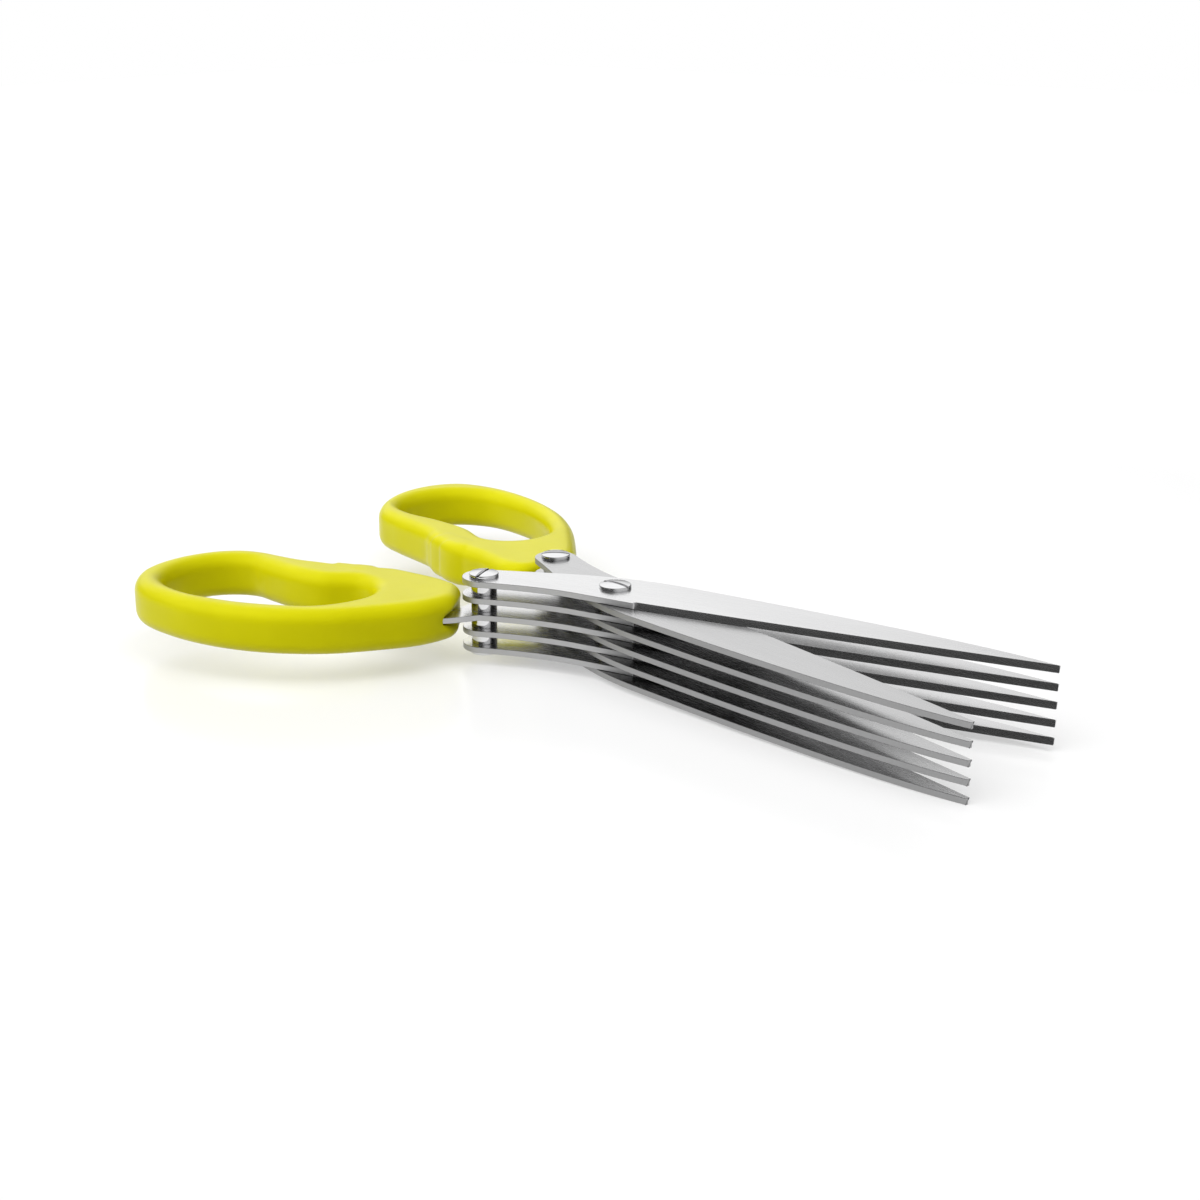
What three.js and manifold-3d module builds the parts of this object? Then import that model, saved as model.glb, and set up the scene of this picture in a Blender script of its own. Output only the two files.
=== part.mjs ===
// Herb scissors: five pairs of blades on one pivot, with two moulded finger loops.
// Millimetres, +Z up. The origin is on the pivot axis, in the plane that the pivot nut rests on.
// +X runs along the middle of the open blades, from the pivot to the points.
// Set A carries the upper blade of every pair and set B the lower one. Each set is drawn with
// the scissors closed and then turned open about the pivot. B is drawn as a mirror image of A.
import * as THREE from "three";
import { mergeVertices } from "three/addons/utils/BufferGeometryUtils.js";
import Module from "manifold-3d";

const wasm = await Module();
wasm.setup();

// Blade stack
const PAIRS = 5;
const BLADE_THICK = 1.2;
const WASHER_THICK = 1.0;
const RUNNING_GAP = 0.05;
const REST_OPENING_DEG = 19.8;

// Blade outline, measured from the pivot with the blade closed
const BLADE_REACH = 91.4;
const POINT_DROP = 0.9;
const POINT_WIDTH = 1.5;
const POINT_SLANT = 0.7;
const EDGE_BELLY = 0.35;
const HEEL_X = 8.2;
const HEEL_DROP = 7.2;
const GRIND_RUN_OUT = 0.7;
const GRIND_WIDTH = 0.9;
const RICASSO_BACK_X = -5.0;
const SPINE_PEAK_X = 12.0;
const SPINE_PEAK_Y = 7.35;
const SPINE_FRONT_EASE = [30.0, -0.95];
const SPINE_POINT_EASE = [-17.5, 4.3];
const SPINE_BACK_EASE = 18.0;

// Tangs, and the rear screw that joins those of one set
const REAR_SCREW_BACK = 26.85;
const REAR_SCREW_DROP = 6.8;
const TANG_END_RADIUS = 4.4;
const TANG_LEAN_DEG = 18;
const TANG_FAR_EASE = 12.0;

// Screws, barrel nuts, spacers and washers
const PIVOT_HEAD_RADIUS = 3.25;
const PIVOT_BARREL_RADIUS = 2.0;
const PIVOT_THREAD_RADIUS = 1.25;
const REAR_HEAD_RADIUS = 3.05;
const REAR_BARREL_RADIUS = 1.5;
const REAR_THREAD_RADIUS = 0.85;
const HEAD_HEIGHT = 1.05;
const HEAD_EDGE = 0.28;
const HEAD_DOME = 0.16;
const NUT_HEAD_HEIGHT = 1.05;
const NUT_HEAD_EDGE = 0.3;
const SLOT_WIDTH = 0.85;
const SLOT_DEPTH = 0.6;
const THREAD_LENGTH = 7.0;
const SPACER_RADIUS = 2.65;
const WASHER_RADIUS = 4.0;
const TURNING_CLEARANCE = 0.08;
const FIXED_CLEARANCE = 0.1;
const BARREL_END_GAP = 0.3;
const PIVOT_SLOT_DEG = 2;
const REAR_SLOT_A_DEG = 104;
const REAR_SLOT_B_DEG = 38;

// Handles
const HANDLE_THICK = 9.8;
const HANDLE_EDGE_ROUND = 2.2;
const NOSE_ROUND = 4.0;
const POCKET_CLEARANCE = 0.3;

// Facets
const ROUND_SEGMENTS = 24;
const EDGE_SEGMENTS = 14;
const SPINE_SEGMENTS = 14;
const TANG_SEGMENTS = 7;
const STEPS_PER_LOOP_POINT = 4;
const EDGE_ROUND_SEGMENTS = 3;
const NOSE_SEGMENTS = 8;

// Points closer than this are one point, and a cutting solid reaches this far past what it cuts
const SAME_POINT = 1e-4;
const CUT_MARGIN = 1e-3;

// The outlines below are measured from the rear screw with the scissors closed: x towards the
// points, y towards the other handle. Each is a smooth curve through its points.
const LONG_TANG = [
  [1.8, -4.05], [-1.1, -7.0], [-3.6, -9.5], [-7.6, -12.0], [-12.6, -13.7], [-14.8, -12.6],
  [-15.2, -10.4], [-14.2, -8.2], [-9.4, -6.4], [-5.6, -4.2], [-4.3, -1.0],
];
const LOOP_A = [
  [-2.7, -5.9], [-3.2, -9.4], [-5.6, -14.8], [-10.8, -20.9], [-19.2, -28.6], [-30.6, -34.3],
  [-42.5, -36.6], [-54.3, -35.8], [-64.5, -32.2], [-70.3, -24.1], [-70.2, -14.4],
  [-66.2, -6.1], [-61.0, -1.7], [-55.8, -0.3], [-50.0, -0.4], [-45.4, -0.4], [-41.6, 0.2],
  [-39.8, 0.5], [-38.2, 1.3], [-35.6, 1.8], [-33.6, 2.4], [-30.0, 3.4], [-27.5, 4.0],
  [-24.5, 4.4], [-18.5, 4.1], [-12.0, 3.4], [-6.7, 1.5], [-4.3, -2.0],
];
const HOLE_A = [
  [-19.4, -14.8], [-23.9, -23.6], [-32.0, -27.8], [-42.5, -30.3], [-54.2, -30.0],
  [-63.0, -25.3], [-64.8, -17.2], [-61.2, -9.4], [-55.4, -6.4], [-50.2, -7.4],
  [-42.6, -9.1], [-34.5, -9.2], [-27.0, -6.2], [-21.7, -8.4],
];
const LOOP_B = [
  [-4.8, -2.4], [-5.4, -7.6], [-8.4, -12.6], [-16.0, -19.3], [-25.7, -26.4], [-35.7, -31.2],
  [-49.8, -33.9], [-62.5, -32.8], [-71.0, -28.4], [-74.4, -21.0], [-73.7, -11.8],
  [-69.3, -3.8], [-62.8, 1.4], [-56.0, 2.6], [-49.0, 3.0], [-43.2, 3.45], [-40.2, 4.3],
  [-38.2, 5.1], [-35.6, 5.4], [-33.6, 5.9], [-30.5, 6.2], [-27.5, 5.9], [-24.0, 5.4],
  [-20.0, 5.3], [-15.5, 5.8], [-10.3, 6.0], [-6.2, 3.8],
];
const HOLE_B = [
  [-23.6, -9.6], [-24.4, -17.6], [-31.0, -23.4], [-39.5, -27.0], [-49.0, -28.5],
  [-59.0, -27.4], [-66.0, -22.0], [-68.0, -13.6], [-64.6, -5.8], [-57.2, -4.0],
  [-47.5, -5.6], [-38.0, -6.2], [-28.5, -4.6],
];

const COLOURS = { steel: 0xc9cccf, chrome: 0xdfe1e4, plastic: 0xd9d92b };

const PITCH = 2 * (BLADE_THICK + RUNNING_GAP) + WASHER_THICK;
const SPACER_HEIGHT = PITCH - BLADE_THICK;
const MIDDLE_PAIR = Math.ceil(PAIRS / 2);
const REAR_SCREW = new THREE.Vector2(-REAR_SCREW_BACK, -REAR_SCREW_DROP);
const PIVOT = new THREE.Vector2(0, 0);
const RAD = Math.PI / 180;

const SET_A = {
  letter: "a", side: 1, isUpper: true, slotDeg: REAR_SLOT_A_DEG, loop: LOOP_A, hole: HOLE_A,
};
const SET_B = {
  letter: "b", side: -1, isUpper: false, slotDeg: REAR_SLOT_B_DEG, loop: LOOP_B, hole: HOLE_B,
};

// Height of the underside of a blade. Pair 1 is on top, and its A blade lies on its B blade.
function bladeBottom(set, pair) {
  const lower = NUT_HEAD_HEIGHT + RUNNING_GAP + (PAIRS - pair) * PITCH;
  return set.isUpper ? lower + BLADE_THICK + RUNNING_GAP : lower;
}

function bladeTop(set, pair) {
  return bladeBottom(set, pair) + BLADE_THICK;
}

function toSolid(geometry) {
  const bare = geometry.clone();
  bare.deleteAttribute("normal");
  bare.deleteAttribute("uv");
  const merged = mergeVertices(bare, SAME_POINT);
  return new wasm.Manifold(new wasm.Mesh({
    numProp: 3,
    vertProperties: new Float32Array(merged.attributes.position.array),
    triVerts: new Uint32Array(merged.index.array),
  }));
}

function toGeometry(solid) {
  const mesh = solid.getMesh();
  const geometry = new THREE.BufferGeometry();
  geometry.setAttribute("position", new THREE.BufferAttribute(mesh.vertProperties, 3));
  geometry.setIndex(new THREE.BufferAttribute(mesh.triVerts, 1));
  geometry.computeVertexNormals();
  return geometry;
}

function anticlockwise(points) {
  return THREE.ShapeUtils.isClockWise(points) ? [...points].reverse() : points;
}

function shapeOf(points, holes) {
  const shape = new THREE.Shape(anticlockwise(points));
  shape.holes = holes.map((hole) => new THREE.Path(anticlockwise(hole)));
  return shape;
}

function extrude(points, holes, bottom, height) {
  const options = { depth: height, bevelEnabled: false };
  return new THREE.ExtrudeGeometry(shapeOf(points, holes), options).translate(0, 0, bottom);
}

function circle(centre, radius) {
  const path = new THREE.Path().absarc(centre.x, centre.y, radius, 0, 2 * Math.PI);
  return path.getPoints(ROUND_SEGMENTS / 2).slice(0, -1);
}

function onSide(points, set) {
  return points.map((point) => new THREE.Vector2(point.x, set.side * point.y));
}

function fromRearScrew([x, y]) {
  return new THREE.Vector2(x, y).add(REAR_SCREW);
}

function smoothLoop(points) {
  const knots = points.map(fromRearScrew).map((p) => new THREE.Vector3(p.x, p.y, 0));
  const curve = new THREE.CatmullRomCurve3(knots, true, "centripetal");
  const samples = curve.getPoints(points.length * STEPS_PER_LOOP_POINT).slice(0, -1);
  return samples.map((p) => new THREE.Vector2(p.x, p.y));
}

// Moves a closed outline outwards by the same distance all round.
function grown(points, distance) {
  const sign = THREE.ShapeUtils.isClockWise(points) ? 1 : -1;
  return points.map((point, i) => {
    const before = points.at(i - 1);
    const after = points[(i + 1) % points.length];
    const along = after.clone().sub(before).normalize();
    return point.clone().add(new THREE.Vector2(-along.y, along.x).multiplyScalar(sign * distance));
  });
}

// The cutting edge runs from the heel to the point on a shallow belly.
function cuttingEdge() {
  const heel = new THREE.Vector2(HEEL_X, -HEEL_DROP);
  const point = new THREE.Vector2(BLADE_REACH, -POINT_DROP);
  const middle = heel.clone().add(point).multiplyScalar(0.5);
  middle.y -= 2 * EDGE_BELLY;
  return new THREE.QuadraticBezierCurve(heel, middle, point);
}

// The spine rises in one long curve from the point to its peak just ahead of the pivot.
function spine() {
  const tip = new THREE.Vector2(BLADE_REACH - POINT_SLANT, POINT_WIDTH - POINT_DROP);
  const peak = new THREE.Vector2(SPINE_PEAK_X, SPINE_PEAK_Y);
  const tipEase = tip.clone().add(new THREE.Vector2(...SPINE_POINT_EASE));
  const peakEase = peak.clone().add(new THREE.Vector2(...SPINE_FRONT_EASE));
  return new THREE.CubicBezierCurve(tip, tipEase, peakEase, peak);
}

function onTangEnd(degrees) {
  const reach = new THREE.Vector2(Math.cos(degrees * RAD), Math.sin(degrees * RAD));
  return REAR_SCREW.clone().add(reach.multiplyScalar(TANG_END_RADIUS));
}

// The far edge of the tang sweeps from the spine's peak to the round end.
function tangFarEdge() {
  const peak = new THREE.Vector2(SPINE_PEAK_X, SPINE_PEAK_Y);
  const end = onTangEnd(90 + TANG_LEAN_DEG);
  const ease = new THREE.Vector2(Math.cos(TANG_LEAN_DEG * RAD), Math.sin(TANG_LEAN_DEG * RAD));
  return new THREE.CubicBezierCurve(
    peak,
    new THREE.Vector2(peak.x - SPINE_BACK_EASE, peak.y),
    ease.multiplyScalar(TANG_FAR_EASE).add(end),
    end,
  );
}

function tangRoundEnd() {
  const from = (90 + TANG_LEAN_DEG) * RAD;
  const to = (270 + TANG_LEAN_DEG) * RAD;
  return new THREE.EllipseCurve(
    REAR_SCREW.x, REAR_SCREW.y, TANG_END_RADIUS, TANG_END_RADIUS, from, to,
  );
}

function tangNearEdge() {
  const start = onTangEnd(270 + TANG_LEAN_DEG);
  const end = new THREE.Vector2(RICASSO_BACK_X, -HEEL_DROP);
  const corner = new THREE.Vector2(
    start.x + (end.y - start.y) / Math.tan(TANG_LEAN_DEG * RAD), end.y,
  );
  return new THREE.QuadraticBezierCurve(start, corner, end);
}

function bladeOutline() {
  return [
    ...spine().getPoints(SPINE_SEGMENTS).slice(0, -1),
    ...tangFarEdge().getPoints(TANG_SEGMENTS).slice(0, -1),
    ...tangRoundEnd().getPoints(ROUND_SEGMENTS / 2).slice(0, -1),
    ...tangNearEdge().getPoints(TANG_SEGMENTS),
    new THREE.Vector2(HEEL_X - GRIND_RUN_OUT, -HEEL_DROP),
    ...cuttingEdge().getPoints(EDGE_SEGMENTS),
  ];
}

// The grind takes the outer face back from the cutting edge and leaves the inner face whole.
function grindEdge(geometry, set) {
  const position = geometry.attributes.position;
  const groundFace = set.isUpper ? BLADE_THICK : 0;
  const edge = cuttingEdge().getPoints(EDGE_SEGMENTS);
  for (let i = 0; i < position.count; i += 1) {
    const x = position.getX(i);
    const y = set.side * position.getY(i);
    const isEdge = edge.some((p) => Math.hypot(p.x - x, p.y - y) < SAME_POINT);
    if (isEdge && Math.abs(position.getZ(i) - groundFace) < SAME_POINT) {
      position.setY(i, set.side * (y + GRIND_WIDTH));
    }
  }
}

function longTang(set, bottom, height, grow) {
  const outline = onSide(grown(smoothLoop(LONG_TANG), grow), set);
  return toSolid(extrude(outline, [], bottom, height));
}

function bladeGeometry(set, pair) {
  const pivotHole = circle(PIVOT, PIVOT_BARREL_RADIUS + TURNING_CLEARANCE);
  const rearHole = onSide(circle(REAR_SCREW, REAR_BARREL_RADIUS + FIXED_CLEARANCE), set);
  const flat = extrude(onSide(bladeOutline(), set), [pivotHole, rearHole], 0, BLADE_THICK);
  grindEdge(flat, set);
  if (pair !== MIDDLE_PAIR) {
    return flat;
  }
  const bore = toSolid(extrude(rearHole, [], -BLADE_THICK, 3 * BLADE_THICK));
  return toGeometry(toSolid(flat).add(longTang(set, 0, BLADE_THICK, 0)).subtract(bore));
}

// A round solid from its half section, as [radius, height] pairs from the axis back to it.
function turned(profile) {
  const points = profile.map(([radius, height]) => new THREE.Vector2(radius, height));
  return new THREE.LatheGeometry(points, ROUND_SEGMENTS).rotateX(Math.PI / 2);
}

function ring(outer, inner, height) {
  return extrude(circle(PIVOT, outer), [circle(PIVOT, inner)], 0, height);
}

// A slotted head with its thread below. The head's seat is at height 0.
function screwGeometry(headRadius, threadRadius, slotDeg) {
  const body = toSolid(turned([
    [0, -THREAD_LENGTH], [threadRadius, -THREAD_LENGTH], [threadRadius, 0], [headRadius, 0],
    [headRadius, HEAD_HEIGHT - HEAD_EDGE - HEAD_DOME],
    [headRadius - HEAD_EDGE, HEAD_HEIGHT - HEAD_DOME],
    [headRadius / 2, HEAD_HEIGHT - HEAD_DOME / 4], [0, HEAD_HEIGHT],
  ]));
  const slot = new THREE.BoxGeometry(3 * headRadius, SLOT_WIDTH, 2 * SLOT_DEPTH);
  slot.translate(0, 0, HEAD_HEIGHT).rotateZ(slotDeg * RAD);
  return toGeometry(body.subtract(toSolid(slot)));
}

// A round head with a threaded tube on top. The head's seat is at height 0.
function barrelNutGeometry(headRadius, barrelRadius, threadRadius, barrelLength) {
  const bore = threadRadius + FIXED_CLEARANCE;
  return turned([
    [0, -NUT_HEAD_HEIGHT], [headRadius - NUT_HEAD_EDGE, -NUT_HEAD_HEIGHT],
    [headRadius, -NUT_HEAD_HEIGHT + NUT_HEAD_EDGE], [headRadius, 0], [barrelRadius, 0],
    [barrelRadius, barrelLength], [bore, barrelLength], [bore, 0], [0, 0],
  ]);
}

// A flat ring with its edges rounded, its nose rounded off further, and a pocket for the tang.
function handleGeometry(set) {
  const shape = shapeOf(onSide(smoothLoop(set.loop), set), [onSide(smoothLoop(set.hole), set)]);
  const middle = bladeBottom(set, MIDDLE_PAIR) + BLADE_THICK / 2;
  const ringBody = new THREE.ExtrudeGeometry(shape, {
    depth: HANDLE_THICK - 2 * HANDLE_EDGE_ROUND,
    bevelThickness: HANDLE_EDGE_ROUND,
    bevelSize: HANDLE_EDGE_ROUND,
    bevelOffset: -HANDLE_EDGE_ROUND,
    bevelSegments: EDGE_ROUND_SEGMENTS,
  });
  ringBody.translate(0, 0, middle - HANDLE_THICK / 2 + HANDLE_EDGE_ROUND);
  const pocket = longTang(
    set, bladeBottom(set, MIDDLE_PAIR) - POCKET_CLEARANCE,
    BLADE_THICK + 2 * POCKET_CLEARANCE, POCKET_CLEARANCE,
  );
  return toGeometry(toSolid(ringBody).intersect(noseLimit(set, middle)).subtract(pocket));
}

// A long slab across the handle whose front end is rounded from top to bottom.
function noseLimit(set, middle) {
  const xs = set.loop.map(([x]) => x);
  const ys = set.loop.map(([, y]) => y);
  const front = REAR_SCREW.x + Math.max(...xs);
  const back = REAR_SCREW.x + Math.min(...xs) - HANDLE_THICK;
  const half = HANDLE_THICK / 2 + CUT_MARGIN;
  const profile = new THREE.Shape();
  profile.moveTo(back, -half).lineTo(front - NOSE_ROUND, -half);
  profile.absarc(front - NOSE_ROUND, NOSE_ROUND - half, NOSE_ROUND, -Math.PI / 2, 0);
  profile.absarc(front - NOSE_ROUND, half - NOSE_ROUND, NOSE_ROUND, 0, Math.PI / 2);
  profile.lineTo(back, half);
  const width = Math.max(...ys) - Math.min(...ys) + 2 * HANDLE_THICK;
  const slab = new THREE.ExtrudeGeometry(profile, {
    depth: width, bevelEnabled: false, curveSegments: NOSE_SEGMENTS,
  });
  const middleY = REAR_SCREW.y + (Math.max(...ys) + Math.min(...ys)) / 2;
  slab.translate(0, 0, -width / 2).rotateX(Math.PI / 2).translate(0, set.side * middleY, middle);
  return toSolid(slab);
}

function named(name, geometry, finish, position = [0, 0, 0]) {
  const isMetal = finish !== "plastic";
  const mesh = new THREE.Mesh(geometry, new THREE.MeshStandardMaterial({
    color: COLOURS[finish],
    metalness: isMetal ? 1 : 0,
    roughness: finish === "chrome" ? 0.12 : 0.34,
  }));
  mesh.name = name;
  mesh.position.set(...position);
  return mesh;
}

function rearFasteners(set) {
  const at = [REAR_SCREW.x, set.side * REAR_SCREW.y];
  const seat = bladeBottom(set, PAIRS);
  const top = bladeTop(set, 1);
  const parts = [
    named(`rear_screw_${set.letter}`,
      screwGeometry(REAR_HEAD_RADIUS, REAR_THREAD_RADIUS, set.slotDeg - set.side * REST_OPENING_DEG / 2),
      "chrome", [...at, top]),
    named(`rear_nut_${set.letter}`,
      barrelNutGeometry(REAR_HEAD_RADIUS, REAR_BARREL_RADIUS, REAR_THREAD_RADIUS,
        top - seat - BARREL_END_GAP),
      "chrome", [...at, seat]),
  ];
  for (let i = 1; i < PAIRS; i += 1) {
    const spacer = ring(SPACER_RADIUS, REAR_BARREL_RADIUS + FIXED_CLEARANCE, SPACER_HEIGHT);
    const place = [...at, bladeTop(set, i + 1)];
    parts.push(named(`rear_spacer_${set.letter}${i}`, spacer, "chrome", place));
  }
  return parts;
}

function pivotFasteners() {
  const seat = bladeBottom(SET_B, PAIRS) - RUNNING_GAP;
  const top = bladeTop(SET_A, 1);
  const parts = [
    named("pivot_screw",
      screwGeometry(PIVOT_HEAD_RADIUS, PIVOT_THREAD_RADIUS, PIVOT_SLOT_DEG - REST_OPENING_DEG / 2),
      "chrome", [0, 0, top]),
    named("pivot_nut",
      barrelNutGeometry(PIVOT_HEAD_RADIUS, PIVOT_BARREL_RADIUS, PIVOT_THREAD_RADIUS,
        top - seat - BARREL_END_GAP),
      "chrome", [0, 0, seat]),
  ];
  for (let i = 1; i < PAIRS; i += 1) {
    const washer = ring(WASHER_RADIUS, PIVOT_BARREL_RADIUS + FIXED_CLEARANCE, WASHER_THICK);
    const place = [0, 0, bladeTop(SET_A, i + 1)];
    parts.push(named(`pivot_washer_${i}`, washer, "chrome", place));
  }
  return parts;
}

function bladeSet(set) {
  const parts = [named(`handle_${set.letter}`, handleGeometry(set), "plastic")];
  for (let pair = 1; pair <= PAIRS; pair += 1) {
    const name = `blade_${set.letter}${pair}`;
    const place = [0, 0, bladeBottom(set, pair)];
    parts.push(named(name, bladeGeometry(set, pair), "steel", place));
  }
  parts.push(...rearFasteners(set));
  const body = new THREE.Group();
  body.add(...parts);
  body.rotation.z = set.side * REST_OPENING_DEG / 2 * RAD;
  return body;
}

const upperSet = bladeSet(SET_A);
upperSet.add(...pivotFasteners());
const group = new THREE.Group();
group.add(upperSet, bladeSet(SET_B));

export default group;
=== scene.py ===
"""Herb scissors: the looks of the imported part, on a plain pale floor.

Lengths below are in millimetres and are turned into metres when a mesh is made.
"""
import math

import bpy
import numpy as np
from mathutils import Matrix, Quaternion, Vector
from mathutils.geometry import tessellate_polygon


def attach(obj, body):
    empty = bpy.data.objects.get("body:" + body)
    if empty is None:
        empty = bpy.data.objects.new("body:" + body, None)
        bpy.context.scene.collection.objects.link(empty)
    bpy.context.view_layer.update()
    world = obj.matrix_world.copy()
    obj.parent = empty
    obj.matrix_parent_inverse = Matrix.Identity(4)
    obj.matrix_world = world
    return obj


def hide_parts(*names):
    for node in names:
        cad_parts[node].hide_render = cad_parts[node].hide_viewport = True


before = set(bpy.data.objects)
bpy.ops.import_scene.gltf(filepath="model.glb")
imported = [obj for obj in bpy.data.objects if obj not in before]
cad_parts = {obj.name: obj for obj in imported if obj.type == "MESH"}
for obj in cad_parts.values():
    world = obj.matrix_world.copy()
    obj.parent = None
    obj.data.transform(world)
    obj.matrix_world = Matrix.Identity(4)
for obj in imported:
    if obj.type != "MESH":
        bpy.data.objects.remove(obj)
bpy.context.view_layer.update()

MM = 0.001
TINY = 1e-9
MITRE_LIMIT = 1.2

# The stack of blades. RUN is the clearance wherever one piece slides on another
PAIRS = 5
BLADE = 1.2
WASHER = 1.0
RUN = 0.05
PITCH = 2 * (BLADE + RUN) + WASHER
NUT_HEAD = 1.05
HALF_OPEN_DEG = 9.9
LONG_TANG_PAIR = 3

# The blades' outline, with its curves given by control points, and the two bores
REAR = np.array([-26.85, -6.8])
HOLE_PIVOT = 2.08
HOLE_REAR = 1.6
HEEL = np.array([8.2, -7.2])
TIP = np.array([91.05, 0.42])
POINT = np.array([91.45, -0.5])
PEAK = np.array([12.0, 7.35])
END_ROUND = [POINT + (0.01, 0.35), POINT + (-0.02, 0.85), TIP]
SPINE = [TIP, TIP + (-17.5, 4.3), PEAK + (30, -0.95), PEAK]
RUN_OUT = [HEEL + (-0.7, 0), HEEL + (-0.35, 0)]
EDGE = [HEEL, (HEEL + POINT) / 2 - (0, 0.7), POINT]
BACK_X = -5.0
TANG_END = 4.4
TANG_FAR_DEG = 108
TANG_NEAR_DEG = TANG_FAR_DEG + 180
LONG_TANG_DEG = 190
TANG_LEAN = math.radians(18)
TANG_EASE, PEAK_EASE = 12, 18

# The ground edge, softened where it meets the flat, and the rounding of the other edges
GRIND = 0.9
BREAK_IN, BREAK_UP = 0.97, 0.3
GRIND_SOFT = 0.02
LAND = 0.04
BLADE_SOFT = 0.05

# The handles, and the grids that their surface is read from
HANDLE_THICK = 9.8
HANDLE_ROUND = 3.0
PAD_ROUND = 2.4
PAD_SOFT = 0.3
SKIN_INSET = 0.05
POCKET_GAP = 0.3
POCKET_ROUND = 0.1
MOUTH_SOFT, MOUTH_LEAST = 3.4, 0.03
MOUTH_START, MOUTH_RUN = -10.4, 4.5
GRID_STEP = 0.6
GRID_BELOW, GRID_ABOVE = 3 * GRID_STEP, 6 * GRID_STEP
TABLE_STEP = 0.3
TABLE_BELOW, TABLE_ABOVE = 4, 6
CHUNK = 4000
SETTLE_ROUNDS, SETTLE_PROBE, SETTLE_MOST, SETTLE_FLAT = 3, 0.02, 0.3, 0.3

# The fasteners. SLOT_SECTION is (across, up) from the crown's top. NUT_BEVEL is (in, up) from
# the corner of the nut's head
REAR_HEAD, PIVOT_HEAD = 3.05, 3.25
REAR_THREAD, PIVOT_THREAD = 0.85, 1.25
REAR_BARREL, PIVOT_BARREL = 1.5, 2.0
BARREL_SHORT = 0.3
THREAD_GAP = 0.1
THREAD_LENGTH = 7.0
THREAD_BEVEL = 0.2
SCREW_HEIGHT = 1.04
SCREW_EDGE = 0.26
SCREW_BEVEL = 0.08
CROWN_RISE = 0.28
SLOT_SECTION = [(-0.36, -0.55), (0.36, -0.55), (0.42, -0.47), (0.42, -0.24), (0.52, 0.6),
                (-0.52, 0.6), (-0.42, -0.24), (-0.42, -0.47)]
SLOT_REACH = 1.5
PIVOT_SLOT_DEG = 2
NUT_BEVEL = [(0.34, 0.0), (0.12, 0.06), (0.0, 0.24)]
NUT_TOP = 0.06
SPACER_OUTER, SPACER_EDGE = 2.65, 0.12
WASHER_OUTER, WASHER_BORE, WASHER_EDGE = 4.0, 2.1, 0.08
ROUND_STEPS, SCREW_STEPS = 72, 96

# The angles between faces, in degrees, up to which each kind of piece is shaded smooth
BLADE_SMOOTH, HANDLE_SMOOTH, SCREW_SMOOTH, TURNED_SMOOTH = 35, 60, 28, 40

# The finishes: the steel's level, where set B's lower level is painted shade on the same steel as
# set A, and by how much it is duller on its other faces. The ground bevel's darkening is partly
# painted shade, and the underside's darkening is painted shade between the blades. Which face it is
# follows from how far the face looks up
STEEL_A, STEEL_B_PAINTED_DARKER = 0.84, 0.62
CUT_DULL, UNDER_PAINTED_SHADE, GROUND_DULL_AND_PAINTED_SHADE = 0.36, 0.7, 0.6
CUT_RAMP = [(0.3, 1), (0.5, 0)]
UNDER_BELOW = -0.5
GROUND_UP, GROUND_SPREAD = 0.66, 0.16
HAIR_RAMP = [(0.66, 0), (0.7, 1)]
GRAIN = 0.08
CHROME = 0.72
LIME = [(0.3, (0.74, 0.70, 0.002)), (0.7, (0.79, 0.75, 0.004))]
STEEL_ROUGH, CUT_ROUGH = 0.19, 0.22
CHROME_ROUGH, LIME_ROUGH = 0.04, 0.22

# Noises as (stretch, scale, detail, roughness) on places in millimetres
FINE = ((0.06, 3.2, 1.0), 2.2, 5.0, 0.62)
BROAD = ((0.03, 0.35, 0.4), 1.0, 3.0, 0.5)
SCRATCH, SCRATCH_TURN_DEG = ((0.02, 5.5, 1.0), 1.6, 2.0, 0.4), 3
POLISH = ((1, 1, 1), 0.9, 4.0, 0.6)
TURNING = ((1, 1, 9), 2.4, 3.0, 0.5)
CLOUD = ((1, 1, 1), 0.07, 3.0, 0.55)
SKIN = ((1, 1, 1), 2.6, 4.0, 0.6)
WEAR = ((1, 1, 1), 0.35, 5.0, 0.7)

# The studio. FLOOR_HALF, FLOOR_GAP and the glow's positions are in metres. Ramps are
# (position, grey), and a way is a direction seen from the scissors
FLOOR_HALF = 1.6
FLOOR_GAP = 0.00002
FLOOR_GLOW = [(0.22, 0.42), (0.7, 1.0)]
TIP_HEIGHT, TIP_REACH = 1.1, 87.0
NUT_EDGE_X = 2.95
BEHIND_WAY = (-0.62, 0.45, 0.64)
BEHIND_RAMP = [(0.0, 0.004), (0.55, 0.015), (0.76, 0.25), (0.87, 0.75), (0.95, 1.0)]
SIDE_WAY = (0.85, 0.0, 0.53)
SIDE_RAMP = [(0.45, 0), (0.8, 0.5)]
MIRRORED_LEVEL = 1.2
FILL_WAY = (-0.265, -0.611, 0.746)
FILL_POWER, FILL_LEVEL = 3.0, 2.3
WHITE = (1, 1, 1, 1)

# The lamps as (name, place, size, power) and the camera, with places and sizes in metres
LAMPS = [
    ("top", (0.25, 0.10, 0.75), (0.6, 0.6), 2.0),
    ("back", (-0.50, 0.62, 0.80), (1.2, 0.8), 1.0)]
LENS, SENSOR = 61.649, 36.0
CAMERA_PLACE = (0.244633, -0.306849, 0.144206)
CAMERA_TURN = (0.76285205, 0.55310093, 0.19383125, 0.27306695)

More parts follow.
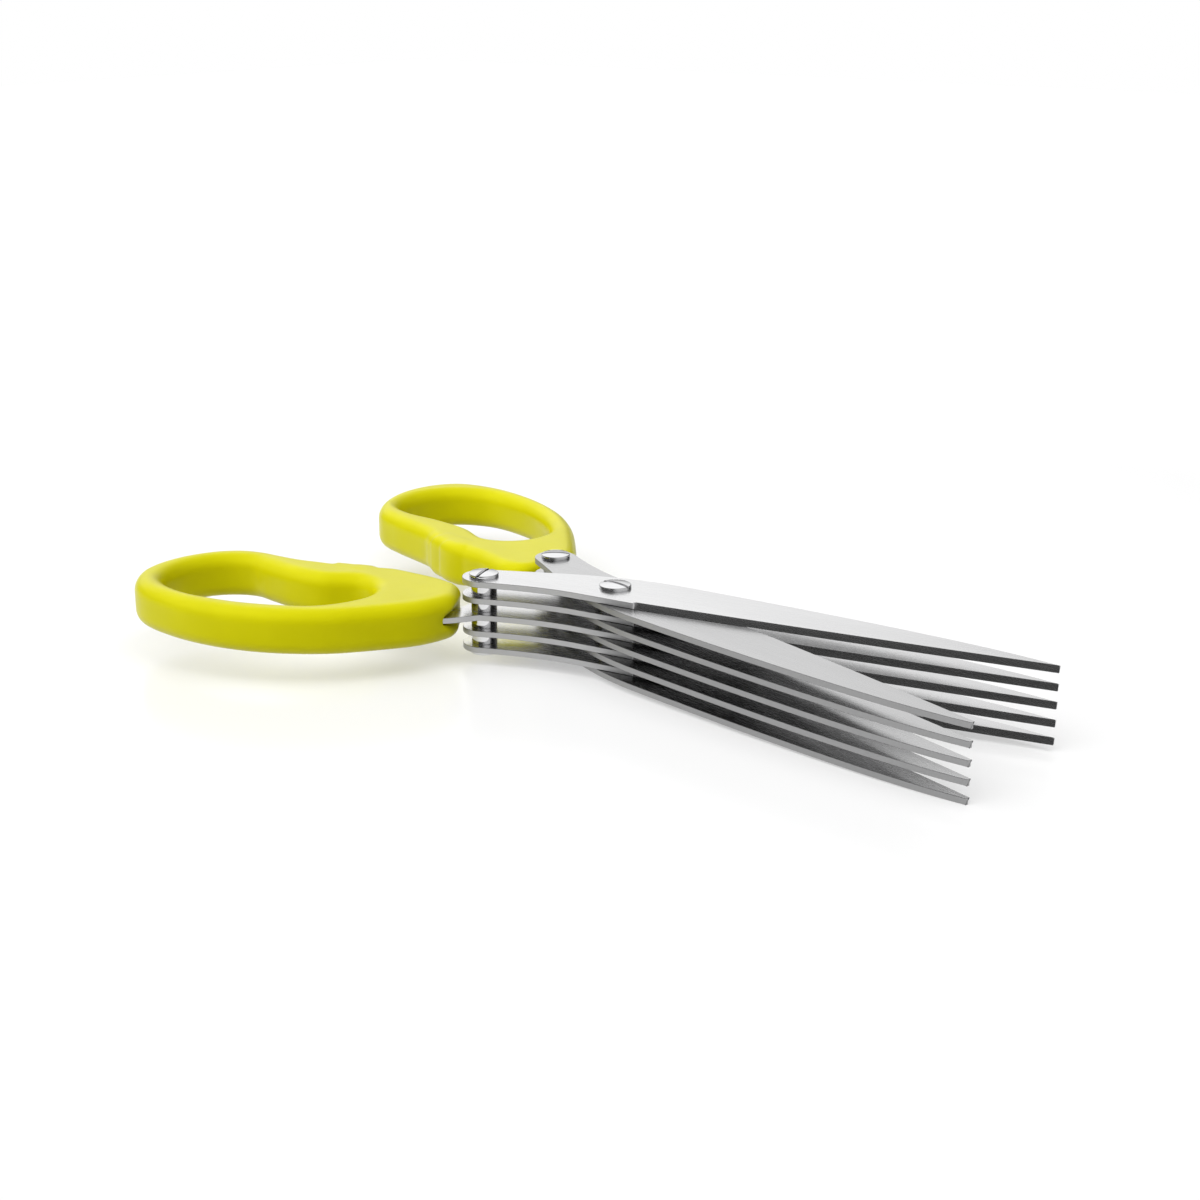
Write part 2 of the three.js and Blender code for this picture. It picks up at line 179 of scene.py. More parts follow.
# Outlines from the rear screw with the scissors closed, x to the points and y to the other handle
LONG_TANG = [
    (-4.3, -1.0), (-5.6, -4.2), (-9.4, -6.4), (-14.2, -8.2), (-15.2, -10.4), (-14.8, -12.6),
    (-12.6, -13.7), (-7.6, -12.0), (-3.6, -9.5), (-1.1, -7.0), (1.36, -4.18)]
LOOP_A = [
    (-2.7, -5.9), (-3.2, -9.4), (-5.6, -14.8), (-10.8, -20.9), (-19.2, -28.6), (-30.6, -34.3),
    (-42.5, -36.6), (-54.3, -35.8), (-64.5, -32.2), (-70.3, -24.1), (-70.2, -14.4),
    (-66.2, -6.1), (-61.0, -1.7), (-55.8, -0.3), (-50.0, -0.4), (-45.4, -0.4), (-41.6, 0.2),
    (-38.0, 0.7), (-34.0, 1.4), (-29.0, 2.9), (-24.5, 4.3), (-18.5, 4.1),
    (-12.0, 3.4), (-6.7, 1.5), (-4.3, -2.0)]
HOLE_A = [
    (-19.4, -14.8), (-23.9, -23.6), (-32.0, -27.8), (-42.5, -30.3), (-54.2, -30.0),
    (-63.0, -25.3), (-64.8, -17.2), (-61.2, -9.4), (-55.4, -6.4), (-50.2, -7.4),
    (-42.6, -9.1), (-34.5, -9.2), (-27.0, -6.2), (-21.7, -8.4)]
PADS_A = [
    [(-38.3, -4.0), (-38.3, 1.0), (-37.9, 1.4), (-35.6, 1.9), (-31.0, 2.8), (-28.5, 3.2),
     (-26.5, 3.1), (-26.5, -3.0)],
    [(-33.9, -3.6), (-33.9, 1.9), (-33.5, 2.4), (-30.5, 3.15), (-29.0, 3.4), (-27.5, 3.4),
     (-27.5, -3.0)]]
LOOP_B = [
    (-4.8, -2.4), (-5.4, -7.6), (-8.4, -12.6), (-16.0, -19.3), (-25.7, -26.4), (-35.7, -31.2),
    (-49.8, -33.9), (-62.5, -32.8), (-71.0, -28.4), (-74.4, -21.0), (-73.7, -11.8),
    (-69.3, -3.8), (-62.8, 1.4), (-56.0, 2.6), (-49.0, 3.0), (-45.5, 3.2), (-43.2, 3.4),
    (-41.6, 3.7), (-40.0, 4.4), (-38.6, 4.75), (-36.0, 4.95), (-32.0, 5.2), (-28.0, 5.4),
    (-24.0, 5.4), (-20.0, 5.3), (-15.5, 5.8), (-10.3, 6.0), (-6.2, 3.8)]
HOLE_B = [
    (-23.6, -9.6), (-24.4, -17.6), (-31.0, -23.4), (-39.5, -27.0), (-49.0, -28.5),
    (-59.0, -27.4), (-66.0, -22.0), (-68.0, -13.6), (-64.6, -5.8), (-57.2, -4.0),
    (-47.5, -5.6), (-38.0, -6.2), (-28.5, -4.6)]
PADS_B = [
    [(-38.3, -1.0), (-38.3, 4.6), (-37.9, 5.1), (-36.0, 5.4), (-33.5, 5.65), (-31.0, 5.85),
     (-28.5, 5.85), (-26.5, 5.6), (-25.5, 5.2), (-25.5, -1.0)],
    [(-33.9, -1.0), (-33.9, 5.45), (-33.5, 5.9), (-32.0, 6.15), (-30.5, 6.25), (-29.0, 6.15),
     (-27.5, 5.9), (-26.6, 5.5), (-26.6, -1.0)]]


def blade_bottom(is_upper, pair):
    lower = NUT_HEAD + RUN + (PAIRS - pair) * PITCH
    return lower + (BLADE + RUN if is_upper else 0)


class Set:
    """One handle and its five blades: which side it is on and which blade of a pair it has."""

    def __init__(self, letter, side, loop, hole, pads, slot_deg):
        self.letter, self.side, self.is_upper = letter, side, side > 0
        self.body = "set_" + letter
        self.loop, self.hole, self.pads, self.slot_deg = loop, hole, pads, slot_deg
        self.turn = side * math.radians(HALF_OPEN_DEG)

    def to_rest(self, points):
        """Closed-frame points with heights, mirrored for set B and turned open, in metres."""
        p = np.array(points, float)
        p[:, 1] *= self.side
        c, s = math.cos(self.turn), math.sin(self.turn)
        x, y = p[:, 0].copy(), p[:, 1].copy()
        p[:, 0], p[:, 1] = c * x - s * y, s * x + c * y
        return p * MM

    def bottom(self, pair):
        return blade_bottom(self.is_upper, pair)


SET_A = Set("a", 1, LOOP_A, HOLE_A, PADS_A, slot_deg=104)
SET_B = Set("b", -1, LOOP_B, HOLE_B, PADS_B, slot_deg=38)


def closed_curve(points, steps):
    """Centripetal Catmull-Rom curve through a closed row of points."""
    p = np.array(points, float) + REAR
    out = []
    n = len(p)
    for i in range(n):
        out.append(curve_span(p[i - 1], p[i], p[(i + 1) % n], p[(i + 2) % n], steps))
    return np.concatenate(out)


def open_curve(points, steps):
    p = np.array(points, float) + REAR
    p = np.concatenate([[2 * p[0] - p[1]], p, [2 * p[-1] - p[-2]]])
    spans = [curve_span(*p[i - 1:i + 3], steps) for i in range(1, len(p) - 2)]
    return np.concatenate(spans + [p[-2:-1]])


def curve_span(p0, p1, p2, p3, steps):
    d0, d1, d2 = (np.linalg.norm(b - a) ** 0.5 for a, b in ((p0, p1), (p1, p2), (p2, p3)))
    t1 = ((p1 - p0) / d0 - (p2 - p0) / (d0 + d1) + (p2 - p1) / d1) * d1
    t2 = ((p2 - p1) / d1 - (p3 - p1) / (d1 + d2) + (p3 - p2) / d2) * d1
    t = np.arange(steps)[:, None] / steps
    a = 2 * p1 - 2 * p2 + t1 + t2
    b = -3 * p1 + 3 * p2 - 2 * t1 - t2
    return a * t ** 3 + b * t ** 2 + t1 * t + p1


def bezier(points, steps):
    p = np.array(points, float)
    t = np.linspace(0, 1, steps + 1)[:, None]
    n = len(p) - 1
    return sum(math.comb(n, i) * (1 - t) ** (n - i) * t ** i * p[i] for i in range(n + 1))


def arc(centre, radius, start, end, steps):
    a = np.radians(np.linspace(start, end, steps + 1))
    return np.array(centre) + radius * np.stack([np.cos(a), np.sin(a)], 1)


def link_object(name, data):
    made = bpy.data.objects.new(name, data)
    bpy.context.scene.collection.objects.link(made)
    return made


def add_mesh(name, verts, faces, body, replaced, material, smooth_deg):
    """Makes a piece from vertices in metres, smooth up to the given angle between faces."""
    mesh = bpy.data.meshes.new(name)
    mesh.from_pydata([tuple(v) for v in verts], [], [tuple(map(int, f)) for f in faces])
    mesh.update()
    mesh.shade_smooth()
    mesh.set_sharp_from_angle(angle=math.radians(smooth_deg))
    mesh.materials.append(material)
    piece = link_object(name, mesh)
    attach(piece, body)
    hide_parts(replaced)


def outward(loop):
    """Mitred unit steps to the right of travel round a closed loop."""
    ahead = np.roll(loop, -1, 0) - loop
    ahead /= np.linalg.norm(ahead, axis=1)[:, None]
    right = np.stack([ahead[:, 1], -ahead[:, 0]], 1)
    both = right + np.roll(right, 1, 0)
    return both * 2 / np.maximum((both * both).sum(1), MITRE_LIMIT)[:, None]


def cap_faces(verts, ends, is_top):
    """Triangles that fill one side of a plate, inside its outline and round its holes."""
    index = np.concatenate([np.arange(s, s + n) for s, n in ends])
    rows = [[Vector((v[0], v[1], 0)) for v in verts[s:s + n]] for s, n in ends]
    faces = []
    for tri in tessellate_polygon(rows):
        a, b, c = (verts[index[k]] for k in tri)
        turn = (b[0] - a[0]) * (c[1] - a[1]) - (b[1] - a[1]) * (c[0] - a[0])
        if abs(turn) > TINY:
            tri = tri if (turn > 0) == is_top else tri[::-1]
            faces.append(tuple(index[k] for k in tri))
    return faces


def plate(loops, rings_of):
    """A plate from an anticlockwise outline, whose last point steps straight across, and holes.

    rings_of(number) gives a loop's rings from the bottom up as (inset, height), where each is a
    number or has one value per point. Returns vertices and faces.
    """
    verts, faces, bottoms, tops = [], [], [], []
    start = 0
    for number, loop in enumerate(loops):
        out, n, rings = outward(loop), len(loop), rings_of(number)
        if number == 0:
            out[-1] = (0, -1)
        for inset, height in rings:
            flat = loop - out * np.broadcast_to(inset, n)[:, None]
            verts.append(np.concatenate([flat, np.broadcast_to(height, n)[:, None]], 1))
        for r in range(len(rings) - 1):
            low, high = start + r * n, start + (r + 1) * n
            faces += [(low + i, low + (i + 1) % n, high + (i + 1) % n, high + i)
                      for i in range(n)]
        bottoms.append((start, n))
        tops.append((start + (len(rings) - 1) * n, n))
        start += len(rings) * n
    verts = np.concatenate(verts)
    return verts, faces + cap_faces(verts, bottoms, False) + cap_faces(verts, tops, True)


def lathe(profile, steps):
    """A round solid from (radius, height) rows.

    They start and end on the axis, or else they are the closed section of a ring.
    """
    a = np.linspace(0, 2 * math.pi, steps, endpoint=False)
    verts, faces, rows = [], [], []
    for radius, height in profile:
        if radius < TINY:
            rows.append([len(verts)])
            verts.append((0, 0, height))
        else:
            rows.append(list(range(len(verts), len(verts) + steps)))
            verts += [(radius * math.cos(t), radius * math.sin(t), height) for t in a]
    if len(rows[0]) > 1:
        rows.append(rows[0])
    for low, high in zip(rows, rows[1:]):
        for i in range(steps):
            j = (i + 1) % steps
            quad = [low[i % len(low)], low[j % len(low)], high[j % len(high)], high[i % len(high)]]
            quad = list(dict.fromkeys(quad))
            if len(quad) > 2:
                faces.append(tuple(quad))
    return np.array(verts), faces


def blade_loop(has_long_tang):
    """The outline of a blade, anticlockwise, and how much of the grind each point takes."""
    end = arc(REAR, TANG_END, TANG_FAR_DEG, TANG_FAR_DEG, 1)[0]
    start = arc(REAR, TANG_END, TANG_NEAR_DEG, TANG_NEAR_DEG, 1)[0]
    ease = TANG_EASE * np.array([math.cos(TANG_LEAN), math.sin(TANG_LEAN)])
    far = bezier([PEAK, PEAK - (PEAK_EASE, 0), end + ease, end], 28)[:-1]
    if has_long_tang:
        bend = arc(REAR, TANG_END, TANG_FAR_DEG, LONG_TANG_DEG, 14)[:-1]
        root = np.concatenate([bend, open_curve(LONG_TANG, 8)[:-1]])
    else:
        root = arc(REAR, TANG_END, TANG_FAR_DEG, TANG_NEAR_DEG, 30)[:-1]
    back = np.array([BACK_X, HEEL[1]])
    corner = np.array([start[0] + (back[1] - start[1]) / math.tan(TANG_LEAN), back[1]])
    near = bezier([start, corner, back], 18)
    edge = bezier(EDGE, 60)
    tip = np.concatenate([bezier(END_ROUND, 5)[:-1], bezier(SPINE, 56)[:-1]])
    loop = np.concatenate([tip, far, root, near, RUN_OUT, edge])
    ground = np.zeros(len(loop))
    ground[-len(edge):] = 1
    ground[-len(edge) - 1] = 0.5
    return loop, ground


def make_blade(group, pair, material):
    loop, ground = blade_loop(pair == LONG_TANG_PAIR)
    holes = [arc((0, 0), HOLE_PIVOT, 0, -360, 48)[:-1], arc(REAR, HOLE_REAR, 0, -360, 36)[:-1]]
    soft = BLADE_SOFT

    def rings_of(number):
        if number:
            return [(soft, 0), (0, soft), (0, BLADE - soft), (soft, BLADE)]
        rows = [
            (soft * (1 - ground), 0 * ground),
            (0 * ground, soft + (LAND - soft) * ground),
            (GRIND * BREAK_IN * ground, BLADE - soft + soft * BREAK_UP * ground),
            ((GRIND + GRIND_SOFT) * ground + soft * (1 - ground), BLADE + 0 * ground)]
        if group.is_upper:
            return rows
        return [(inset, BLADE - height) for inset, height in rows[::-1]]

    verts, faces = plate([loop] + holes, rings_of)
    verts[:, 2] += group.bottom(pair)
    if group.side < 0:
        faces = [f[::-1] for f in faces]
    name = f"blade_{group.letter}{pair}"
    add_mesh(name + "_ground", group.to_rest(verts), faces, group.body, name,
             material, BLADE_SMOOTH)


def distance(q, loop):
    """Signed distance of points from a closed loop, negative inside."""
    a, b = loop, np.roll(loop, -1, 0)
    out = np.empty(len(q))
    for s in range(0, len(q), CHUNK):
        p = q[s:s + CHUNK, None, :]
        ab, ap = b - a, p - a
        t = np.clip((ap * ab).sum(2) / (ab * ab).sum(1), 0, 1)
        gap = ap - t[..., None] * ab
        near = np.sqrt((gap * gap).sum(2).min(1))
        py = p[..., 1]
        spans = (a[:, 1] <= py) != (b[:, 1] <= py)
        with np.errstate(divide="ignore", invalid="ignore"):
            cross = a[:, 0] + (py - a[:, 1]) * ab[:, 0] / ab[:, 1]
        inside = (spans & (p[..., 0] < cross)).sum(1) % 2 == 1
        out[s:s + CHUNK] = np.where(inside, -near, near)
    return out


def looked_up(loop, low, high):
    """A quick stand-in for distance(): the same values read off a fine flat grid."""
    nx, ny = (int(n) for n in np.ceil((high - low) / TABLE_STEP) + 1)
    grid = np.stack(np.meshgrid(np.arange(nx), np.arange(ny), indexing="ij"), -1)
    table = distance((grid * TABLE_STEP + low).reshape(-1, 2), loop).reshape(nx, ny)

    def read(q):
        at = (q - low) / TABLE_STEP
        i = np.clip(at[:, 0].astype(int), 0, nx - 2)
        j = np.clip(at[:, 1].astype(int), 0, ny - 2)
        u, v = at[:, 0] - i, at[:, 1] - j
        return ((table[i, j] * (1 - u) + table[i + 1, j] * u) * (1 - v)
                + (table[i, j + 1] * (1 - u) + table[i + 1, j + 1] * u) * v)

    return read


def blend_min(a, b, soft):
    h = np.maximum(soft - np.abs(a - b), 0) / soft
    return np.minimum(a, b) - h * h * soft / 4


def rounded(flat, height, half, radius):
    """Distance from a slab with rounded edges, given the distance from its outline."""
    x, y = flat + radius, np.abs(height) - half + radius
    outside = np.sqrt(np.maximum(x, 0) ** 2 + np.maximum(y, 0) ** 2)
    return outside + np.minimum(np.maximum(x, y), 0) - radius


def handle_field(group):
    """Distance from a handle's surface in the closed frame, with the tang at height 0.

    The nose falls away softly where the tang comes out of it.
    """
    outer = closed_curve(group.loop, 8)
    low, high = outer.min(0) - TABLE_BELOW, outer.max(0) + TABLE_ABOVE
    to_outer = looked_up(outer, low, high)
    to_hole = looked_up(closed_curve(group.hole, 10), low, high)
    to_pads = [looked_up(np.array(pad) + REAR, low, high) for pad in group.pads]
    to_tang = looked_up(open_curve(LONG_TANG, 8), low, high)

    def field(p):
        flat, tall = p[:, :2], p[:, 2]
        wall = np.maximum(to_outer(flat), -to_hole(flat))
        body = rounded(wall, tall, HANDLE_THICK / 2, HANDLE_ROUND)
        for to_pad in to_pads:
            raised = rounded(to_pad(flat), tall, HANDLE_THICK / 2, PAD_ROUND)
            body = blend_min(body, raised, PAD_SOFT)
        tang = np.minimum(to_tang(flat), np.linalg.norm(flat - REAR, axis=1) - TANG_END)
        pocket = rounded(tang, tall, BLADE / 2, POCKET_ROUND) - POCKET_GAP
        share = (flat[:, 1] - REAR[1] - MOUTH_START) / MOUTH_RUN
        soft = MOUTH_SOFT * np.clip(share, MOUTH_LEAST, 1)
        return -blend_min(-body - SKIN_INSET, pocket, soft)

    return field, outer


def net_points(values):
    """One point in each cell of a grid that the zero surface of a field runs through.

    Returns the points in grid steps, and each cell's point number or -1.
    """
    corners = [(i, j, k) for i in (0, 1) for j in (0, 1) for k in (0, 1)]
    nx, ny, nz = (n - 1 for n in values.shape)
    cut = [values[i:nx + i, j:ny + j, k:nz + k] for i, j, k in corners]
    total, count = np.zeros((nx, ny, nz, 3)), np.zeros((nx, ny, nz))
    for a in range(8):
        for b in range(a + 1, 8):
            if sum(abs(u - v) for u, v in zip(corners[a], corners[b])) != 1:
                continue
            crosses = (cut[a] < 0) != (cut[b] < 0)
            with np.errstate(divide="ignore", invalid="ignore"):
                t = np.where(crosses, cut[a] / (cut[a] - cut[b]), 0)
            for axis in range(3):
                way = corners[b][axis] - corners[a][axis]
                total[..., axis] += np.where(crosses, corners[a][axis] + t * way, 0)
            count += crosses
    used = count > 0
    number = np.full((nx, ny, nz), -1)
    number[used] = np.arange(used.sum())
    return total[used] / count[used][:, None] + np.argwhere(used), number


def net_quads(values, number):
    """A quad across each grid line that the surface cuts, joining the four cells round it."""
    inside = values < 0
    quads = []
    for axis in range(3):
        u, v = (axis + 1) % 3, (axis + 2) % 3
        low = np.take(inside, range(values.shape[axis] - 1), axis)
        high = np.take(inside, range(1, values.shape[axis]), axis)
        at = np.argwhere(low != high)
        rows = []
        for du, dv in ((-1, -1), (0, -1), (0, 0), (-1, 0)):
            cell = at.copy()
            cell[:, u] += du
            cell[:, v] += dv
            rows.append(number[tuple(cell.T)])
        quad = np.stack(rows, 1)
        leaving = low[tuple(at.T)]
        quads.append(np.where(leaving[:, None], quad, quad[:, ::-1]))
    return np.concatenate(quads)


def settle(verts, field):
    """Moves points onto the zero surface of a field."""
    probes = SETTLE_PROBE * np.eye(3)
    for _ in range(SETTLE_ROUNDS):
        here = field(verts)
        slope = np.stack([field(verts + probe) - here for probe in probes], 1) / SETTLE_PROBE
        length = np.maximum((slope * slope).sum(1), SETTLE_FLAT)
        move = np.clip(here / length, -SETTLE_MOST, SETTLE_MOST)
        verts = verts - slope * move[:, None]
    return verts


def make_handle(group, material):
    field, outer = handle_field(group)
    low = np.append(outer.min(0), -HANDLE_THICK / 2) - GRID_BELOW
    high = np.append(outer.max(0), HANDLE_THICK / 2) + GRID_ABOVE
    axes = [np.arange(a, b, GRID_STEP) for a, b in zip(low, high)]
    grid = np.stack(np.meshgrid(*axes, indexing="ij"), -1)
    values = field(grid.reshape(-1, 3)).reshape(grid.shape[:3])
    points, number = net_points(values)
    quads = net_quads(values, number)
    verts = settle(low + points * GRID_STEP, field)
    verts[:, 2] += group.bottom(LONG_TANG_PAIR) + BLADE / 2
    faces = quads if group.side > 0 else quads[:, ::-1]
    name = f"handle_{group.letter}"
    add_mesh(name + "_moulded", group.to_rest(verts), faces, group.body, name,
             material, HANDLE_SMOOTH)


def dome(radius):
    """Rows of a screw head's crown, from its axis out to its rim and down the rounded edge."""
    rows = [(0, SCREW_HEIGHT)]
    inner = radius - SCREW_EDGE
    for t in np.linspace(0.15, 1, 10):
        rows.append((t * inner, SCREW_HEIGHT - CROWN_RISE * t * t))
    for a in np.linspace(15, 90, 6):
        s, c = math.sin(math.radians(a)), math.cos(math.radians(a))
        rows.append((inner + SCREW_EDGE * s, SCREW_HEIGHT - CROWN_RISE - SCREW_EDGE * (1 - c)))
    return rows


def loose_object(name, verts, faces):
    """An object for a cut, from vertices in millimetres. It doesn't stay in the scene."""
    mesh = bpy.data.meshes.new(name)
    mesh.from_pydata([tuple(np.array(v) * MM) for v in verts], [], faces)
    return link_object(name, mesh)


def slot_tool(name, radius, slot_deg):
    """A bar with the section of a screwdriver slot, which reaches past the head."""
    reach = radius * SLOT_REACH
    verts = [(x, y, z + SCREW_HEIGHT) for x in (-reach, reach) for y, z in SLOT_SECTION]
    n = len(SLOT_SECTION)
    faces = [tuple(range(n))[::-1], tuple(range(n, 2 * n))]
    faces += [(i, (i + 1) % n, n + (i + 1) % n, n + i) for i in range(n)]
    tool = loose_object(name + "_tool", verts, faces)
    tool.rotation_euler[2] = math.radians(slot_deg)
    return tool


def make_screw(name, body, place, radius, thread, slot_deg, material):
    end = -THREAD_LENGTH
    rows = [(0, end), (thread - THREAD_BEVEL, end), (thread, end + THREAD_BEVEL), (thread, 0),
            (radius - SCREW_BEVEL, 0), (radius, SCREW_BEVEL)] + dome(radius)[::-1]
    blank = loose_object(name + "_blank", *lathe(rows, SCREW_STEPS))
    tool = slot_tool(name, radius, slot_deg)
    cut = blank.modifiers.new("slot", "BOOLEAN")
    cut.operation, cut.object, cut.solver = "DIFFERENCE", tool, "EXACT"
    graph = bpy.context.evaluated_depsgraph_get()
    done = bpy.data.meshes.new_from_object(blank.evaluated_get(graph))
    verts = [v.co + Vector(place) * MM for v in done.vertices]
    faces = [tuple(p.vertices) for p in done.polygons]
    for loose in (blank, tool):
        bpy.data.objects.remove(loose, do_unlink=True)
    add_mesh(name + "_slotted", verts, faces, body, name, material,
             SCREW_SMOOTH)


def make_turned(name, body, place, rows, material):
    verts, faces = lathe(rows, ROUND_STEPS)
    verts = (verts + np.array(place)) * MM
    add_mesh(name + "_turned", verts, faces, body, name, material,
             TURNED_SMOOTH)


def ring_rows(outer, inner, height, edge):
    """The section of a ring with bevelled edges, seated at height 0."""
    return [(inner, edge), (inner + edge, 0), (outer - edge, 0), (outer, edge),
            (outer, height - edge), (outer - edge, height), (inner + edge, height),
            (inner, height - edge)]


def nut_rows(head, barrel, thread, length):
    """A head with a bevelled underside and a threaded tube, seated at height 0."""
    bore = thread + THREAD_GAP
    bevel = [(head - inset, rise - NUT_HEAD) for inset, rise in NUT_BEVEL]
    return [(0, -NUT_HEAD)] + bevel + [
        (head, -NUT_TOP), (head - NUT_TOP, 0), (barrel, 0), (barrel, length), (bore, length),
        (bore, 0), (0, 0)]


def fasten_tangs(group, material):
    """A screw and a nut through the five tangs of a set, with spacers between the tangs."""
    x, y = group.to_rest([(REAR[0], REAR[1], 0)])[0][:2] / MM
    top, low = group.bottom(1) + BLADE, group.bottom(PAIRS)
    tail = "_" + group.letter
    make_screw("rear_screw" + tail, group.body, (x, y, top), REAR_HEAD, REAR_THREAD,
               group.slot_deg, material)
    nut = nut_rows(REAR_HEAD, REAR_BARREL, REAR_THREAD, top - low - BARREL_SHORT)
    make_turned("rear_nut" + tail, group.body, (x, y, low), nut, material)
    spacer = ring_rows(SPACER_OUTER, HOLE_REAR, PITCH - BLADE, SPACER_EDGE)
    for i in range(1, PAIRS):
        place = (x, y, group.bottom(i + 1) + BLADE)
        make_turned(f"rear_spacer{tail}{i}", group.body, place, spacer, material)


def fasten_pivot(material):
    """The pivot's screw and nut, and the washers that hold one pair off the next."""
    top, seat = SET_A.bottom(1) + BLADE, SET_B.bottom(PAIRS) - RUN
    make_screw("pivot_screw", "set_a", (0, 0, top), PIVOT_HEAD, PIVOT_THREAD, PIVOT_SLOT_DEG,
               material)
    nut = nut_rows(PIVOT_HEAD, PIVOT_BARREL, PIVOT_THREAD, top - seat - BARREL_SHORT)
    make_turned("pivot_nut", "set_a", (0, 0, seat), nut, material)
    washer = ring_rows(WASHER_OUTER, WASHER_BORE, WASHER, WASHER_EDGE)
    for i in range(1, PAIRS):
        place = (0, 0, SET_A.bottom(i + 1) + BLADE)
        make_turned(f"pivot_washer_{i}", "set_a", place, washer, material)


class Nodes:
    """A small helper that adds shader nodes and joins them up."""

    def __init__(self, tree):
        self.nodes, self.links = tree.nodes, tree.links

    def fill(self, node, **inputs):
        """Sets or links a node's inputs. i0, i1 and i2 stand for the first three."""
        for key, value in inputs.items():
            is_number = key[0] == "i" and key[1:].isdigit()
            socket = node.inputs[int(key[1:]) if is_number else key.replace("_", " ")]
            if isinstance(value, bpy.types.NodeSocket):
                self.links.new(value, socket)
            else:
                socket.default_value = value

    def add(self, kind, settings=None, **inputs):
        node = self.nodes.new(kind)
        for key, value in (settings or {}).items():
            setattr(node, key, value)
        self.fill(node, **inputs)
        return node

    def math(self, operation, a, b=0.0):
        return self.add("ShaderNodeMath", {"operation": operation}, i0=a, i1=b).outputs[0]

    def total(self, base, *parts):
        """The base plus each part's value times its weight."""
        for value, weight in parts:
            base = self.math("ADD", self.math("MULTIPLY", value, weight), base)
        return base

    def dot(self, way, aim):
        return self.add("ShaderNodeVectorMath", {"operation": "DOT_PRODUCT"}, i0=way,
                        i1=aim).outputs["Value"]

    def ramp(self, value, stops):
        """A ramp through (position, colour) stops, where a single number is a grey."""
        node = self.add("ShaderNodeValToRGB", i0=value)
        ramp = node.color_ramp
        while len(ramp.elements) < len(stops):
            ramp.elements.new(0.5)
        for element, (at, colour) in zip(ramp.elements, stops):
            element.position = at
            element.color = (*np.broadcast_to(colour, 3), 1)
        return node.outputs[0]

    def noise(self, settings, turn_deg=0.0):
        """A noise on object coordinates, which are turned about Z and then stretched."""
        stretch, scale, detail, roughness = settings
        place = self.add("ShaderNodeTexCoord").outputs["Object"]
        turned = self.add("ShaderNodeVectorRotate", {"rotation_type": "Z_AXIS"}, Vector=place,
                          Angle=math.radians(turn_deg)).outputs[0]
        stretched = self.add("ShaderNodeVectorMath", {"operation": "MULTIPLY"}, i0=turned,
                             i1=tuple(s / MM for s in stretch)).outputs[0]
        return self.add("ShaderNodeTexNoise", Vector=stretched, Scale=scale, Detail=detail,
                        Roughness=roughness).outputs[0]

    def metal(self, level, blue):
        """A grey whose blue is a little stronger."""
        return self.add("ShaderNodeCombineColor", Red=level, Green=level,
                        Blue=self.math("MULTIPLY", level, blue)).outputs[0]

    def bump(self, height, strength, depth):
        """A surface normal from a height, with the depth in millimetres."""
        return self.add("ShaderNodeBump", Strength=strength, Distance=depth * MM,
                        Height=height).outputs[0]


def new_material(name):
    material = bpy.data.materials.new(name)
    material.use_nodes = True
    return material, Nodes(material.node_tree), material.node_tree.nodes["Principled BSDF"]


def steel_grain(n, turn_deg):
    """Fine and broad brushing along a blade, and a few hair scratches nearly along it."""
    scratch = n.noise(SCRATCH, turn_deg + SCRATCH_TURN_DEG)
    return n.noise(FINE, turn_deg), n.noise(BROAD, turn_deg), n.ramp(scratch, HAIR_RAMP)


def steel_faces(n):
    """Which faces were sheared, and how much darker each face is than a blade's top: sheared sides
    duller, the ground bevel duller and partly painted shade, the underside painted shade.
    """
    normal = n.add("ShaderNodeTexCoord").outputs["Normal"]
    up = n.add("ShaderNodeSeparateXYZ", Vector=normal).outputs["Z"]
    level = n.math("ABSOLUTE", up)
    cut = n.ramp(level, CUT_RAMP)
    # Painted shade: faces that look down are darkened for the shade between the blades
    painted_under_shade = n.math("LESS_THAN", up, UNDER_BELOW)
    # The ground bevel's darkening is a duller ground finish and partly painted shade
    tilt = n.math("ABSOLUTE", n.math("SUBTRACT", level, GROUND_UP))
    ground = n.math("MULTIPLY", n.math("LESS_THAN", tilt, GROUND_SPREAD), GROUND_DULL_AND_PAINTED_SHADE)
    dull_and_painted_shade = n.total(0.0, (cut, CUT_DULL), (painted_under_shade, UNDER_PAINTED_SHADE))
    return cut, n.math("MAXIMUM", dull_and_painted_shade, ground)


def steel_material(name, turn_deg, level):
    """Stainless blade stock, brushed lengthwise.

    It is duller where it was sheared, duller and partly painted shade where it was ground, and
    darker underneath as painted shade between the blades.
    """
    material, n, shader = new_material(name)
    fine, broad, hair = steel_grain(n, turn_deg)
    cut, dull_and_painted_shade = steel_faces(n)
    # The base colour is dulled on sheared sides, and darkened as painted shade on the ground bevel
    # and the underside
    value = n.math("MULTIPLY", n.total(level - GRAIN, (fine, GRAIN), (broad, GRAIN)),
                   n.math("SUBTRACT", 1.0, dull_and_painted_shade))
    n.fill(shader, Base_Color=n.metal(value, 1.005), Metallic=1.0, Anisotropic=0.4,
           Roughness=n.total(STEEL_ROUGH, (fine, 0.14), (hair, 0.05), (cut, CUT_ROUGH)),
           Normal=n.bump(n.total(fine, (hair, 0.5)), strength=0.10, depth=0.02))
    return material


def chrome_material():
    """Polished fasteners: bright, with faint turning marks and soft handling wear."""
    material, n, shader = new_material("fastener_polish")
    cloud, grain = n.noise(POLISH), n.noise(TURNING)
    n.fill(shader, Base_Color=n.metal(n.total(CHROME, (cloud, GRAIN)), 1.012), Metallic=1.0,
           Roughness=n.total(CHROME_ROUGH, (cloud, 0.08), (grain, 0.05)),
           Normal=n.bump(grain, strength=0.05, depth=0.02))
    return material


